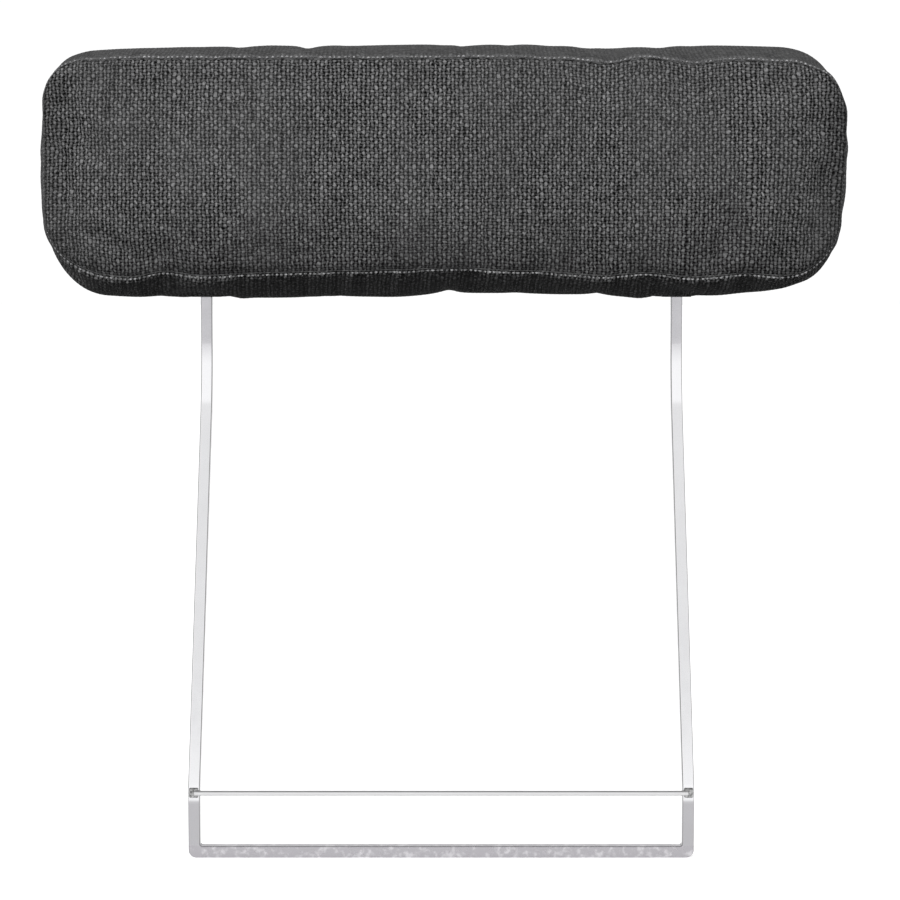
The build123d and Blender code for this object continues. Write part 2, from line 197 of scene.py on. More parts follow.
# ---- the coarse cushion, and what its simulation does to it ---------------------------
def coarse_cushion():
    """A closed mesh of the plain shape: points, faces, and which points a seam holds."""
    sides, corner = ring_counts(COARSE)
    steps = round(DEPTH / COARSE)
    rings = [boxing_ring(DEPTH * j / steps, sides, corner)[0] for j in range(steps + 1)]
    n = len(rings[0])
    points = list(np.concatenate(rings))
    faces = grid_faces(steps + 1, n, closed=True)
    for start, front in ((0, True), (steps * n, False)):
        flat = [Vector((p[0], p[2] - CENTRE_Z)) for p in points[start:start + n]]
        loop = [(i, (i + 1) % n) for i in range(n)]
        co, _, tris, origin, *_ = delaunay_2d_cdt(flat + inner_points(COARSE), loop, [], 1, 1e-7)
        index = {}
        for v, where in enumerate(origin):
            if where and where[0] < n:
                index[v] = start + where[0]
                continue
            index[v] = len(points)
            points.append(panel_point(np.array([co[v].x]), np.array([co[v].y]), front)[0])
        for tri in tris:
            corners = [index[v] for v in tri]
            faces.append(tuple(corners) if front else tuple(reversed(corners)))
    held = set(range(n)) | set(range(steps * n, steps * n + n))
    return np.array(points), faces, held


def inner_points(spacing):
    """Grid points inside the panel, clear of its outline."""
    xs = np.arange(-SEAM_W, SEAM_W, spacing) + spacing / 2
    zs = np.arange(-SEAM_H, SEAM_H, spacing) + spacing / 2
    x, z = [a.ravel() for a in np.meshgrid(xs, zs)]
    distance, _, _ = edge_distance(x, z, SEAM_W, SEAM_H, SEAM_RADII)
    keep = distance < -0.6 * spacing
    return [Vector((a, b)) for a, b in zip(x[keep], z[keep])]


# How the sewn cushion wanders from its plain shape, seen from the front. The seam and the skin of
# the boxing behind it rise and sink along X: (place along X, shift in Z), millimetres.
TOP_SEAM_WAVE = (
    (-260, -1.0), (-200, 0.4), (-60, 0.2), (40, 0.8), (85, -0.4), (114, -3.0),
    (141, 0.6), (176, -3.4), (202, -1.2), (226, -1.6), (250, -2.6),
)
BOTTOM_SEAM_WAVE = (
    (-255, 1.0), (-217, -2.6), (-190, 1.4), (-168, -1.4), (-115, 0.4), (-57, 1.8), (13, 3.2),
    (58, 1.6), (114, -1.6), (141, 0.2), (178, -2.6), (211, -0.4), (240, -1.8),
)
TOP_SKIN_WAVE = (
    (-250, -4.0), (-200, -3.0), (-145, -2.2), (-100, -0.2), (-40, -0.8), (10, -0.4),
    (55, 0.0), (80, -1.2), (105, -2.2), (148, -2.2), (175, -0.6), (235, 0.0),
)
BOTTOM_SKIN_WAVE = (
    (-240, -0.6), (-195, -1.2), (-150, -1.0), (-90, -0.2), (-30, 0.0), (8, 2.2), (52, 2.6), (80, 2.2),
    (105, 1.6), (145, -1.6), (175, -1.0), (200, 1.2), (225, 3.6), (246, 4.6),
)
WAVE_REACH = 30 * MM         # how far a seam's waves run into the panels and the boxing
SHIFT_X = 2.6 * MM           # the cover sits that far to the right of the bracket
LEAN_RIGHT = 4.0 * MM        # how much further in the right end is at the bottom
ENDS_FROM = 200 * MM         # from the middle; what happens to the two ends begins there
WRAP = 13 * MM               # how far back the front panel's ends are pulled
END_PUSH = 2.2 * MM          # and how far out
WRAP_WIDTH = 34 * MM         # how much of the ends that takes in
WRAP_DEPTH = 26 * MM
LEG_PUFF = 1.8 * MM          # the cover hangs that far down round the leg openings
LEG_PUFF_AT = 21 * MM        # from the middle of the leg
LUMPS = 1.7 * MM             # how far the filling's soft lumps stand out of the panels
SMALL_LUMPS = 0.5 * MM
BOXING_LUMPS = 0.7 * MM

# Soft creases of the front panel: from, to (X and Z from the middle), depth and width, millimetres.
CREASES = (
    ((180, 60), (226, 70), -1.3, 6), ((184, 50), (232, 60), 1.6, 8), ((96, -60), (96, 40), 1.0, 11),
    ((226, -50), (228, 30), -1.2, 13), ((180, -66), (206, -54), 2.0, 12), ((218, -58), (224, -44), -1.4, 9),
    ((-270, 44), (-250, 8), 1.2, 6), ((-262, 58), (-236, 20), -1.0, 6), ((-240, -48), (-200, -60), 1.4, 10),
    ((-120, -62), (-60, -50), 1.2, 14), ((-30, 40), (20, 58), 1.0, 14), ((-190, 40), (-175, -20), 0.9, 14),
)


def wave(x, keys):
    """A smooth line through the keys, level at each of them."""
    kx = np.array([k[0] for k in keys]) * MM
    kz = np.array([k[1] for k in keys]) * MM
    i = np.clip(np.searchsorted(kx, x) - 1, 0, len(kx) - 2)
    t = smooth((x - kx[i]) / (kx[i + 1] - kx[i]))
    return kz[i] * (1 - t) + kz[i + 1] * t


def soft_noise(points, size, seed):
    """Smooth noise of about -1 to 1 with features of that size."""
    shift = Vector((seed * 7.3, seed * 3.1, seed * 5.7))
    return np.array([noise.noise(Vector(p) / size + shift) for p in points])


def wander(points):
    """Moves the plain shape's points as the hand-sewn cover does."""
    x, y, z = points[:, 0], points[:, 1], points[:, 2] - CENTRE_Z
    side = np.clip(z / SEAM_H, -1, 1)
    above, below = z > 0, z < 0
    to_front = hill(y - FRONT_Y, WAVE_REACH)
    to_edge = hill(SEAM_H - np.abs(z), WAVE_REACH)
    between_ends = 1 - smooth((np.abs(x) - SEAM_W + 26 * MM) / (20 * MM))
    at_leg = hill(np.abs(x) - LEG_X, 14 * MM) * below
    away_from_zip = 1 - zip_hold(points)
    seam = np.where(above, wave(x, TOP_SEAM_WAVE), wave(x, BOTTOM_SEAM_WAVE)) * to_front * to_edge
    to_middle = smooth(1 - np.abs(y - MID_Y) / (DEPTH / 2)) ** 0.5
    skin = np.where(above, wave(x, TOP_SKIN_WAVE), wave(x, BOTTOM_SKIN_WAVE)) * to_middle
    skin = skin * smooth(np.abs(side) * 1.4 - 0.4) * (1 - at_leg)
    moved = points.copy()
    moved[:, 2] += (seam + skin) * between_ends
    # the ends: all of them to the right, the right one in at its foot, and both wrapped back
    moved[:, 0] += SHIFT_X * smooth((np.abs(x) - ENDS_FROM) / (60 * MM))
    right_end = smooth((x - ENDS_FROM) / (70 * MM))
    moved[:, 0] -= LEAN_RIGHT * right_end * smooth((20 * MM - z) / (SEAM_H + 10 * MM))
    round_end = np.clip((np.abs(x) - SEAM_W + WRAP_WIDTH) / WRAP_WIDTH, 0, 1)
    wrap = hill(y - FRONT_Y, WRAP_DEPTH) * (1 - np.sqrt(1 - round_end ** 2))
    moved[:, 1] += WRAP * wrap
    moved[:, 0] += END_PUSH * np.sign(x) * wrap
    from_leg = np.hypot(np.abs(x) - LEG_X, y - LEG_Y)
    moved[:, 2] -= LEG_PUFF * hill(from_leg - LEG_PUFF_AT, 10 * MM) * below
    moved[:, 1] += creases(x, z) * (y < FRONT_Y + 1 * MM)
    moved[:, 1] += LUMPS * soft_noise(points, 70 * MM, 1) * away_from_zip
    moved[:, 1] += SMALL_LUMPS * soft_noise(points, 26 * MM, 2) * away_from_zip
    boxing_lumps = BOXING_LUMPS * soft_noise(points, 60 * MM, 3) * (1 - to_front)
    moved[:, 2] += boxing_lumps * away_from_zip * (1 - at_leg)
    return moved


def creases(x, z):
    """How deep the front panel's creases are at each place."""
    depth = np.zeros(len(x))
    for start, end, deep, width in CREASES:
        a, b = np.array(start) * MM, np.array(end) * MM
        line = b - a
        share = np.clip(((x - a[0]) * line[0] + (z - a[1]) * line[1]) / (line @ line), 0, 1)
        away = np.hypot(x - a[0] - share * line[0], z - a[1] - share * line[1])
        depth += deep * MM * hill(away, width * MM)
    return depth


def zip_hold(points):
    """1 where the zip holds the back panel to its place in the frame, 0 away from it."""
    near_z = 1 - smooth((np.abs(points[:, 2] - ZIP_Z) - 9 * MM) / (18 * MM))
    near_x = 1 - smooth((np.abs(points[:, 0]) - OPENING_HALF - 6 * MM) / (20 * MM))
    behind = smooth((points[:, 1] - BACK_Y + 12 * MM) / (10 * MM))
    return near_z * near_x * behind


def leg_hold(points):
    """1 round the two holes for the legs, 0 away from them."""
    away = np.hypot(np.abs(points[:, 0]) - LEG_X, points[:, 1] - LEG_Y)
    below = points[:, 2] < CENTRE_Z
    return (1 - smooth((away - 10 * MM) / (12 * MM))) * below


PRESSURE = 4.0
FRAMES = 20
CAP = 6 * MM                 # the furthest that the simulation may move a point
SWELL = 3.6 * MM             # what it adds away from the seams, taken off beforehand
SWELL_REACH = 14 * MM


def free_to_swell(points):
    """0 at the seams, the zip and the leg holes, and 1 away from them."""
    between = np.minimum(points[:, 1] - FRONT_Y, BACK_Y - points[:, 1])
    distance, _, _ = edge_distance(points[:, 0], points[:, 2] - CENTRE_Z, SEAM_W, SEAM_H, SEAM_RADII)
    from_seam = np.where(between > 0.1 * MM, between, -distance)
    free = 1 - np.exp(-np.maximum(from_seam, 0) / SWELL_REACH)
    return free * (1 - np.maximum(zip_hold(points), leg_hold(points)))


def blow_up(points, faces, held, slack):
    """Cloth simulation of the stuffed cover, with its seams, zip and leg holes held."""
    points = points - point_normals(points, faces) * (SWELL * slack)[:, None]
    body = new_mesh("sim", points, faces)
    fixed = np.maximum(zip_hold(points), leg_hold(points))
    fixed[list(held)] = 1.0
    group = body.vertex_groups.new(name="held")
    for i, weight in enumerate(fixed):
        if weight > 0.02:
            group.add([i], float(weight), "REPLACE")
    cloth = body.modifiers.new("cloth", "CLOTH")
    settings = cloth.settings
    settings.quality = 6
    settings.mass = 0.25
    settings.tension_stiffness = 12
    settings.compression_stiffness = 12
    settings.shear_stiffness = 6
    settings.bending_stiffness = 0.6
    settings.vertex_group_mass = "held"
    settings.shrink_min = -0.02
    settings.use_pressure = True
    settings.uniform_pressure_force = PRESSURE
    settings.effector_weights.gravity = 0
    cloth.collision_settings.use_collision = False
    cloth.point_cache.frame_start = 1
    cloth.point_cache.frame_end = FRAMES
    scene = bpy.context.scene
    for step in range(1, FRAMES + 1):
        scene.frame_set(step)
    shape = evaluated(body)
    result = np.empty(len(points) * 3, np.float32)
    shape.vertices.foreach_get("co", result)
    result = result.reshape(-1, 3).astype(float)
    bpy.data.objects.remove(body)
    scene.frame_set(1)
    move = result - points
    length = np.linalg.norm(move, axis=1)
    move *= (CAP * np.tanh(length / CAP) / np.maximum(length, 1e-9))[:, None]
    return points + move


def subdivided(points, faces):
    """The mesh after one subdivision."""
    body = new_mesh("fine", points, faces)
    body.modifiers.new("subdivision", "SUBSURF").levels = 1
    shape = evaluated(body)
    result = np.array([v.co for v in shape.vertices])
    new_faces = [tuple(f.vertices) for f in shape.polygons]
    bpy.data.objects.remove(body)
    return result, new_faces


def evaluated(body):
    """The object's mesh with its modifiers applied."""
    return body.evaluated_get(bpy.context.evaluated_depsgraph_get()).to_mesh()


class Shaping:
    """Carries points of the plain cushion to where the stuffed, sewn cushion has them."""

    def __init__(self):
        points, faces, held = coarse_cushion()
        final = wander(points)
        final = blow_up(final, faces, held, free_to_swell(points))
        self.plain, self.faces = subdivided(points, faces)
        self.final, _ = subdivided(final, faces)
        self.corners = np.array([f[:3] for f in self.faces])
        self.fourth = np.array([f[3] for f in self.faces])
        self.tree = BVHTree.FromPolygons([tuple(p) for p in self.plain], self.faces)

    def place(self, points):
        """The points moved as the nearest face of the plain cushion is."""
        found = [self.tree.find_nearest(Vector(p)) for p in points]
        face = np.array([f[2] for f in found])
        at = np.array([f[0] for f in found])
        quad = np.concatenate((self.corners[face], self.fourth[face, None]), axis=1)
        a, b, c, d = (self.plain[quad[:, i]] for i in range(4))
        u = along(at, (a + d) / 2, (b + c) / 2)
        v = along(at, (a + b) / 2, (d + c) / 2)
        weights = ((1 - u) * (1 - v), u * (1 - v), u * v, (1 - u) * v)
        shift = self.final - self.plain
        return points + sum(w[:, None] * shift[quad[:, i]] for i, w in enumerate(weights))


def along(at, start, end):
    """How far along the line from start to end each point is, from 0 to 1."""
    line = end - start
    length_2 = np.einsum("ij,ij->i", line, line)
    return np.clip(np.einsum("ij,ij->i", at - start, line) / np.maximum(length_2, 1e-12), 0, 1)


# ---- meshes ---------------------------------------------------------------------------
def new_mesh(name, points, faces, uvs=None, seam=None):
    """A mesh object. uvs gives one pair for each point, and seam how far it is from a seam."""
    mesh = bpy.data.meshes.new(name)
    mesh.from_pydata([tuple(p) for p in points], [], faces)
    if uvs is not None:
        layer = mesh.uv_layers.new(name="cloth")
        corner = np.empty(len(mesh.loops), np.int32)
        mesh.loops.foreach_get("vertex_index", corner)
        layer.data.foreach_set("uv", np.asarray(uvs, np.float32)[corner].ravel())
    if seam is not None:
        layer = mesh.attributes.new("seam", "FLOAT", "POINT")
        layer.data.foreach_set("value", np.asarray(seam / MM, np.float32))
    mesh.polygons.foreach_set("use_smooth", [True] * len(mesh.polygons))
    mesh.update()
    piece = bpy.data.objects.new(name, mesh)
    bpy.context.scene.collection.objects.link(piece)
    return piece


def join_meshes(name, parts):
    """One mesh object from (points, faces) pairs."""
    points, faces, start = [], [], 0
    for p, f in parts:
        points.extend(tuple(q) for q in p)
        faces.extend(tuple(i + start for i in face) for face in f)
        start += len(p)
    return new_mesh(name, points, faces)


def grid_faces(rows, columns, closed=False):
    """Quads of a grid whose points run along its rows, each row a ring if closed."""
    faces = []
    for row in range(0, (rows - 1) * columns, columns):
        for i in range(columns if closed else columns - 1):
            k = (i + 1) % columns
            faces.append((row + i, row + k, row + columns + k, row + columns + i))
    return faces


def renumbered(faces):
    """Which points the faces use, and the faces over those points alone."""
    used = sorted({i for f in faces for i in f})
    index = {old: new for new, old in enumerate(used)}
    return used, [tuple(index[i] for i in f) for f in faces]


def point_normals(points, faces):
    """Smooth normals, by area."""
    quads = np.array([f if len(f) == 4 else (*f, f[2]) for f in faces])
    a, b, c, d = (points[quads[:, i]] for i in range(4))
    face_normal = np.cross(c - a, d - b)
    normals = np.zeros_like(points)
    for i in range(4):
        np.add.at(normals, quads[:, i], face_normal)
    return normals / np.maximum(np.linalg.norm(normals, axis=1), 1e-12)[:, None]


def random_places(count, rng):
    """Slightly uneven places for the threads, in steps of one, with both ends kept."""
    walk = np.cumsum(rng.normal(0, THREAD_SPREAD, count))
    walk -= np.linspace(walk[0], walk[-1], count)
    wobble = rng.normal(0, THREAD_SPREAD, count)
    wobble[0] = wobble[-1] = 0
    return np.arange(count) + np.clip(walk, -0.6, 0.6) + wobble


def raise_crossings(points, faces, u, v, fade):
    """Adds the relief of a plain weave, at two mesh steps to a thread: high on the crossings."""
    height = np.cos(2 * np.pi * u) * 0.5 + np.cos(2 * np.pi * v) * 0.5
    points += point_normals(points, faces) * (YARN_BUMP * height * fade)[:, None]


def seam_valley(distance):
    """How deep the cloth dips at a distance from the seam."""
    return VALLEY * hill(distance, VALLEY_REACH)


def woven_panel(shaping, front, rng, keep=None):
    """The front or back panel, two mesh steps to a thread, cut to the seam's outline.

    keep says which cells stay, as for the opening of the zip.
    """
    across = 2 * round(2 * SEAM_W / YARN_X)
    up = 2 * round(2 * SEAM_H / YARN_Z)
    u = random_places(across + 1, rng) / across
    v = random_places(up + 1, rng) / up
    x, z = np.meshgrid((2 * u - 1) * SEAM_W, (2 * v - 1) * SEAM_H)
    thread_u, thread_v = np.meshgrid(np.arange(across + 1) / 2, np.arange(up + 1) / 2)
    x, z, thread_u, thread_v = (a.ravel() for a in (x, z, thread_u, thread_v))
    step = SEAM_W / across * 2
    distance, out_x, out_z = edge_distance(x, z, SEAM_W, SEAM_H, SEAM_RADII)
    # cells about as far as half a step outside stay, and their outer points move onto the outline
    cells = [f for f in grid_faces(up + 1, across + 1) if all(distance[i] < 0.45 * step for i in f)]
    if keep is not None:
        cells = [f for f in cells if keep(x[list(f)].mean(), z[list(f)].mean())]
    on_outline = np.zeros(len(x), bool)
    on_outline[[i for i in border(cells) if distance[i] > -2.2 * step]] = True
    on_outline |= distance > -0.5 * step
    x = np.where(on_outline, x - distance * out_x, x)
    z = np.where(on_outline, z - distance * out_z, z)
    distance = np.where(on_outline, 0, distance)
    used, faces = renumbered(cells)
    x, z, distance, out_x, out_z, thread_u, thread_v = (
        a[used] for a in (x, z, distance, out_x, out_z, thread_u, thread_v)
    )
    if not front:
        faces = [tuple(reversed(f)) for f in faces]
    placed = shaping.place(panel_point(x, z, front))
    dip = seam_valley(distance)
    placed[:, 1] += dip if front else -dip
    placed[:, 0] -= 0.5 * out_x * dip
    placed[:, 2] -= 0.5 * out_z * dip
    raise_crossings(placed, faces, thread_u, thread_v, smooth(-distance / (2 * YARN_X)))
    return placed, faces, np.stack((thread_u, thread_v), axis=1), -distance


def border(faces):
    """Points on the open edges of a set of faces."""
    count = {}
    for f in faces:
        for a, b in zip(f, f[1:] + f[:1]):
            key = (a, b) if a < b else (b, a)
            count[key] = count.get(key, 0) + 1
    return {i for key, n in count.items() if n == 1 for i in key}


def turn_edges_in(piece):
    """Adds the hem or seam allowance: open edges continue into the cushion."""
    bm = bmesh.new()
    bm.from_mesh(piece.data)
    edges = [e for e in bm.edges if e.is_boundary]
    for v in bmesh.ops.extrude_edge_only(bm, edges=edges)["geom"]:
        if isinstance(v, bmesh.types.BMVert):
            v.co += into_cushion(v.co) * ALLOWANCE
    bm.to_mesh(piece.data)
    bm.free()
    piece.data.polygons.foreach_set("use_smooth", [True] * len(piece.data.polygons))


def into_cushion(co):
    """From a seam towards the inside of the cushion."""
    to_middle = Vector((0, MID_Y - co.y, 0)).normalized()
    _, out_x, out_z = edge_distance(
        np.array([co.x]), np.array([co.z - CENTRE_Z]), SEAM_W, SEAM_H, SEAM_RADII
    )
    return to_middle * 0.7 - Vector((out_x[0], 0, out_z[0])) * 0.7


def sink_at_seam(placed, facings, dip, to_middle):
    """Lets the boxing's points dip into the seam's valley."""
    placed[:, 0] -= facings[:, 0] * dip * 0.9
    placed[:, 2] -= facings[:, 1] * dip * 0.9
    placed[:, 1] += to_middle * dip * 0.5


def boxing_band(shaping, rng):
    """The band between the seams, with square openings for the legs."""
    sides, corner = ring_counts(YARN_X / 2)
    rows = 2 * round((DEPTH + 8 * MM) / YARN_X)
    depth = random_places(rows + 1, rng) / rows * DEPTH
    rings = [boxing_ring(d, sides, corner) for d in depth]
    n = len(rings[0][0])
    points = np.concatenate([r[0] for r in rings])
    facings = np.concatenate([r[1] for r in rings])
    near_seam = np.repeat(np.minimum(depth, DEPTH - depth), n)
    to_middle = np.repeat(np.where(depth < DEPTH / 2, 1.0, -1.0), n)
    thread_u = np.tile(np.arange(n) / 2, rows + 1)
    thread_v = np.repeat(np.arange(rows + 1) / 2, n)
    faces = grid_faces(rows + 1, n, closed=True)
    faces = [f for f in faces if not beside_leg(points[list(f)].mean(axis=0), LEG_OPENING / 2)]
    placed = shaping.place(points)
    sink_at_seam(placed, facings, seam_valley(near_seam), to_middle)
    fade = BOXING_RELIEF * smooth(near_seam / (2 * YARN_X))
    raise_crossings(placed, faces, thread_u, thread_v, fade)
    return placed, faces, np.stack((thread_u, thread_v), axis=1), near_seam


LEG_OPENING = 11.5 * MM      # of the band round a leg, under its binding
BOXING_RELIEF = 0.4          # the stretched band's relief beside that of the panels


def beside_leg(p, half):
    """Whether a point of the underside lies within a square of that half width round a leg."""
    return p[2] < CENTRE_Z and abs(abs(p[0]) - LEG_X) < half and abs(p[1] - LEG_Y) < half


def dress(piece, look):
    """Puts a piece on the cushion, with its material."""
    piece.data.materials.append(look())
    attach(piece, "cushion")


def build_cover(shaping):
    """The four pieces of the cover."""
    rng = np.random.default_rng(SEED)

    def add(name, mesh_data, look=panel_weave):
        piece = new_mesh(name, *mesh_data)
        turn_edges_in(piece)
        dress(piece, look)
        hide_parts("cover_" + name)

    def keep(side):
        return lambda x, z: side * (z + CENTRE_Z - ZIP_Z) > 0 and not in_opening(x, z)

    add("front_panel", woven_panel(shaping, True, rng))
    add("boxing_band", boxing_band(shaping, rng), boxing_weave)
    add("back_upper", woven_panel(shaping, False, rng, keep(1)))
    add("back_lower", woven_panel(shaping, False, rng, keep(-1)))


def in_opening(x, z):
    return abs(x) < OPENING_HALF and abs(z + CENTRE_Z - ZIP_Z) < OPENING_H / 2


# ---- stitches -------------------------------------------------------------------------
STITCH_PITCH = 3.3 * MM
STITCH_LENGTH = 1.9 * MM
STITCH_R = 0.72 * MM
STITCH_FROM_SEAM = 1.7 * MM
STITCH_SIDES = 8
STITCH_RINGS = 7
STITCH_OUT = 0.35 * MM       # how far the thread lies out of the boxing
STITCH_SINK = 1.1 * MM       # and how much further in round the ends, where the cloth is tight


def stitch(start, end, out):
    """One stitch as a plump little tube whose ends dive into the cloth."""
    along_it = end - start
    across = np.cross(along_it, out)
    across /= np.linalg.norm(across)
    points = []
    for k in range(STITCH_RINGS):
        t = k / (STITCH_RINGS - 1)
        swell = math.sin(math.pi * t) ** 0.6
        lift = 0.45 * swell - 0.1
        radius = STITCH_R * (0.3 + 0.7 * swell)
        middle = start + along_it * t + out * (lift * STITCH_R)
        for s in range(STITCH_SIDES):
            angle = 2 * math.pi * s / STITCH_SIDES
            points.append(middle + radius * (math.cos(angle) * across + math.sin(angle) * out))
    faces = [tuple(reversed(f)) for f in grid_faces(STITCH_RINGS, STITCH_SIDES, closed=True)]
    last = (STITCH_RINGS - 1) * STITCH_SIDES
    faces.append(tuple(range(STITCH_SIDES)))
    faces.append(tuple(reversed(range(last, last + STITCH_SIDES))))
    return points, faces


def stitch_row(name, path, outs, rng):
    """Stitches along a line of closely spaced points, with the way out at each."""
    gaps = np.linalg.norm(np.diff(path, axis=0), axis=1)
    at = np.concatenate(([0], np.cumsum(gaps)))
    count = int(at[-1] / STITCH_PITCH)
    starts = (np.arange(count) + 0.15 + rng.normal(0, 0.07, count)) * STITCH_PITCH

    def read(values, distance):
        return np.array([np.interp(distance, at, values[:, i]) for i in range(3)])

    parts = []
    for s in starts:
        length = STITCH_LENGTH * (1 + rng.normal(0, 0.14))
        if s + length < at[-1]:
            out = read(outs, s + length / 2)
            parts.append(stitch(read(path, s), read(path, s + length), out / np.linalg.norm(out)))
    piece = join_meshes(name, parts)
    dress(piece, thread)
    return piece


def seam_stitching(name, shaping, from_front, rng):
    """A row of stitches in the boxing beside a seam."""
    sides, corner = ring_counts(2 * MM)
    ring, facings = boxing_ring(from_front, sides, corner)
    placed = shaping.place(ring)
    toward = 1 if from_front < DEPTH / 2 else -1
    outs = np.stack((facings[:, 0], np.full(len(ring), -0.45 * toward), facings[:, 1]), axis=1)
    outs /= np.linalg.norm(outs, axis=1)[:, None]
    sink_at_seam(placed, facings, seam_valley(min(from_front, DEPTH - from_front)), toward)
    placed += outs * (STITCH_OUT - STITCH_SINK * np.abs(facings[:, 0:1]) ** 4)
    closed = np.concatenate((placed, placed[:1]))
    return stitch_row(name, closed, np.concatenate((outs, outs[:1])), rng)


def zip_stitching(name, shaping, sign, rng):
    """A row of stitches that holds the zip's tape to the back panel."""
    z = ZIP_Z - CENTRE_Z + sign * (OPENING_H / 2 + 4 * MM)
    half = OPENING_HALF + 5 * MM
    x = np.arange(-half, half, 2 * MM)
    outs = np.tile((0.0, 1.0, 0.0), (len(x), 1))
    placed = shaping.place(panel_point(x, np.full(len(x), z), False)) + outs * 0.3 * MM
    return stitch_row(name, placed, outs, rng)


# ---- materials ------------------------------------------------------------------------
SOCKETS = {
    "metallic": "Metallic",
    "specular": "Specular IOR Level",
    "sheen": "Sheen Weight",
    "sheen_roughness": "Sheen Roughness",
    "emission": "Emission Strength",
    "emission_colour": "Emission Color",
}


def rgba(colour):
    """A node's colour from a grey level or from red, green and blue; a socket stays a socket."""
    if isinstance(colour, float):
        return (colour, colour, colour, 1)
    return (*colour, 1) if isinstance(colour, tuple) else colour


class Nodes:
    """The node tree of a material or a world, with short calls for the nodes used here."""

    def __init__(self, owner):
        owner.use_nodes = True
        self.owner = owner
        self.tree = owner.node_tree

    def put(self, value, into):
        """Links a socket to an input, or sets the input to a constant."""
        if isinstance(value, bpy.types.NodeSocket):
            self.tree.links.new(value, into)
        else:
            into.default_value = value

    def node(self, kind, inputs=(), out=0, **settings):
        """Adds a node with these inputs and settings, and gives one of its outputs."""
        made = self.tree.nodes.new("ShaderNode" + kind)
        for key, value in settings.items():
            setattr(made, key, value)
        for key, value in dict(inputs).items():
            self.put(value, made.inputs[key])
        return made.outputs[out]

    def math(self, operation, *values):
        return self.node("Math", enumerate(values), operation=operation)

    def plus(self, a, b):
        return self.math("ADD", a, b)

    def minus(self, a, b):
        return self.math("SUBTRACT", a, b)

    def times(self, a, b):
        return self.math("MULTIPLY", a, b)

    def mix(self, factor, a, b, blend="MIX"):
        inputs = {0: factor, 6: rgba(a), 7: rgba(b)}
        return self.node("Mix", inputs, 2, data_type="RGBA", blend_type=blend)

    def ramp(self, value, *stops):
        colour = self.node("ValToRGB", {0: value})
        elements = colour.node.color_ramp.elements
        while len(elements) < len(stops):
            elements.new(0.5)
        for element, (place, level) in zip(elements, stops):
            element.position = place
            element.color = rgba(level)
        return colour

    def between(self, value, low, high):
        """From low to high over the middle of a value that runs from 0 to 1."""
        return self.ramp(value, (0.3, low), (0.7, high))

    def spread(self, value, low, high):
        """0 up to low, 1 from high on, and even between them."""
        return self.node("MapRange", {"Value": value, "From Min": low, "From Max": high})

    def noise(self, scale, detail=2.0, roughness=0.5, at=None, kind="3D"):
        at = self.place() if at is None else at
        inputs = {"Scale": scale, "Detail": detail, "Roughness": roughness, "Vector": at}
        return self.node("TexNoise", inputs, noise_dimensions=kind)

    def flat_noise(self, at, scale, detail=2.0, roughness=0.5):
        return self.noise(scale, detail, roughness, at, "2D")

    def white(self, x, y=0.0):
        """A random number from 0 to 1 for each whole-number place."""
        return self.node("TexWhiteNoise", {"Vector": self.vector(x, y)}, noise_dimensions="2D")

    def cells(self, scale, feature="F1"):
        """Distance in a field of cells."""
        return self.node("TexVoronoi", {"Scale": scale, "Vector": self.place()}, "Distance", feature=feature)

    def vector(self, x, y):
        return self.node("CombineXYZ", {0: x, 1: y})

    def parts(self, vector):
        return self.node("SeparateXYZ", {0: vector}).node.outputs

    def place(self):
        """The object's own coordinates, which are the frame's, in metres."""
        return self.node("TexCoord", out="Object")

    def stretched(self, x, y, z):
        """The object's coordinates, scaled along each axis."""
        return self.node("Mapping", {"Scale": (x, y, z), "Vector": self.place()}, vector_type="POINT")

    def facing(self):
        """The three parts of the surface's normal in the object's coordinates."""
        return self.parts(self.node("TexCoord", out="Normal"))

    def centred(self, value, span):
        """Turns 0 to 1 into a spread of that span about 0."""
        return self.times(self.minus(value, 0.5), span)

    def ripple(self, value, pitch):
        """A sine of that pitch in metres."""
        return self.math("SINE", self.times(value, 2 * math.pi / pitch))

    def finish(self, colour, roughness, relief=None, **constants):
        """Puts everything into the material's shader, and returns the material.

        relief is a height from 0 to 1, the distance in millimetres that it stands for, and a strength.
        """
        inputs = self.tree.nodes["Principled BSDF"].inputs
        self.put(colour, inputs["Base Color"])
        self.put(roughness, inputs["Roughness"])
        if relief is not None:
            height, distance, strength = relief
            bump = {"Height": height, "Distance": distance * MM, "Strength": strength}
            self.put(self.node("Bump", bump), inputs["Normal"])
        for name, value in constants.items():
            self.put(value, inputs[SOCKETS[name]])
        return self.owner


def material(name):
    return Nodes(bpy.data.materials.new(name))


WEAVE_DRIFT = 0.7            # threads, how far the lattice wanders
WEAVE_JITTER = 0.72          # the same from one crossing to the next
SEAM_SHADE_REACH = 30.0      # millimetres from a seam over which painted shade darkens the cloth
THREAD_APART = 3.7           # parts the noise of neighbouring threads
THREAD_LONG = 0.22           # draws the noise out along each thread
RUBBED_TONE = 0.068          # of the cloth where its pattern is rubbed out
# Tones by the top thread's height: painted shade darkens the threads lower down and the gaps between them.
WARP_TONES = ((0.24, 0.001), (0.44, 0.025), (0.6, 0.075), (0.76, 0.13), (1.0, 0.165))     # by height
WEFT_TONES = ((0.27, 0.001), (0.42, 0.020), (0.54, 0.045), (0.86, 0.10))


def wandering_threads(m, raw):
    """The cloth's coordinates in threads, made uneven as the yarn is."""
    u, v, _ = m.parts(raw)
    u = m.plus(u, m.centred(m.flat_noise(raw, 0.33), WEAVE_DRIFT))
    v = m.plus(v, m.centred(m.flat_noise(m.vector(v, u), 0.41), WEAVE_DRIFT))
    u = m.plus(u, m.centred(m.flat_noise(m.vector(u, m.times(v, 0.8)), 1.3, 1.0), WEAVE_JITTER))
    v = m.plus(v, m.centred(m.flat_noise(m.vector(v, m.times(u, 0.7)), 1.2, 1.0), WEAVE_JITTER))
    return u, v


